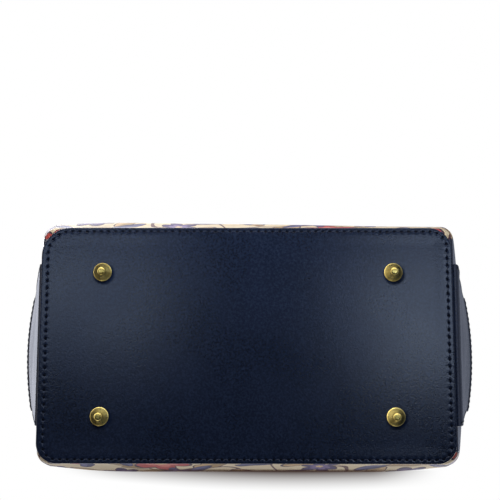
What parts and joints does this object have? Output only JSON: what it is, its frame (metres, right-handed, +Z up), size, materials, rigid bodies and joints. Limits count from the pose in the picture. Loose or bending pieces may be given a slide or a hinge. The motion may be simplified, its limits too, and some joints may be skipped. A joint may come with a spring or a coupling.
{
  "type": "leather handbag",
  "caption": "Open-mouthed leather tote handbag with printed front and back, plain flared gussets, a flat base on metal feet and rolled handles that swing on rectangular rings.",
  "frame": {"origin": "on the floor under the middle of the base, level with the tips of the feet", "axes": "+Z up from the feet to the mouth, +X along the width, -Y towards the front"},
  "size_m": [0.4, 0.1772, 0.3684],
  "materials": {
    "navy_leather": "smooth satin leather, dark navy",
    "printed_leather": "smooth cream leather with a printed pattern",
    "antique_brass": "antique brass, worn bright on the high spots",
    "greyboard": "plain fibreboard",
    "lining_cloth": "plain woven cotton"
  },
  "bodies": {
    "bag": {"base_panel": "navy_leather", "base_board": "greyboard", "front_left_foot": "antique_brass", "front_right_foot": "antique_brass", "back_left_foot": "antique_brass", "back_right_foot": "antique_brass", "foot_washers": "antique_brass", "front_panel": "printed_leather", "back_panel": "printed_leather", "left_gusset": "navy_leather", "right_gusset": "navy_leather", "top_facing": "navy_leather", "lining": "lining_cloth", "snap_stud": "antique_brass", "snap_socket": "antique_brass", "front_left_tab": "navy_leather", "front_right_tab": "navy_leather", "back_left_tab": "navy_leather", "back_right_tab": "navy_leather", "tab_rivets": "antique_brass"},
    "front_ring_pair": {"front_left_ring": "antique_brass", "front_right_ring": "antique_brass"},
    "front_grip": {"front_handle": "navy_leather", "front_handle_rivets": "antique_brass"},
    "back_ring_pair": {"back_left_ring": "antique_brass", "back_right_ring": "antique_brass"},
    "back_grip": {"back_handle": "navy_leather", "back_handle_rivets": "antique_brass"}
  },
  "joints": [
    {"name": "front_rings_swing", "type": "hinge", "parent": "bag", "child": "front_ring_pair", "pos_m": [0, -0.06925, 0.20825], "axis": [1, 0, 0], "range_deg": [0, 150]},
    {"name": "front_handle_swing", "type": "hinge", "parent": "front_ring_pair", "child": "front_grip", "pos_m": [0, -0.06925, 0.22625], "axis": [1, 0, 0], "range_deg": [0, 44]},
    {"name": "back_rings_swing", "type": "hinge", "parent": "bag", "child": "back_ring_pair", "pos_m": [0, 0.06925, 0.20825], "axis": [-1, 0, 0], "range_deg": [0, 150]},
    {"name": "back_handle_swing", "type": "hinge", "parent": "back_ring_pair", "child": "back_grip", "pos_m": [0, 0.06925, 0.22625], "axis": [-1, 0, 0], "range_deg": [0, 44]}
  ]
}
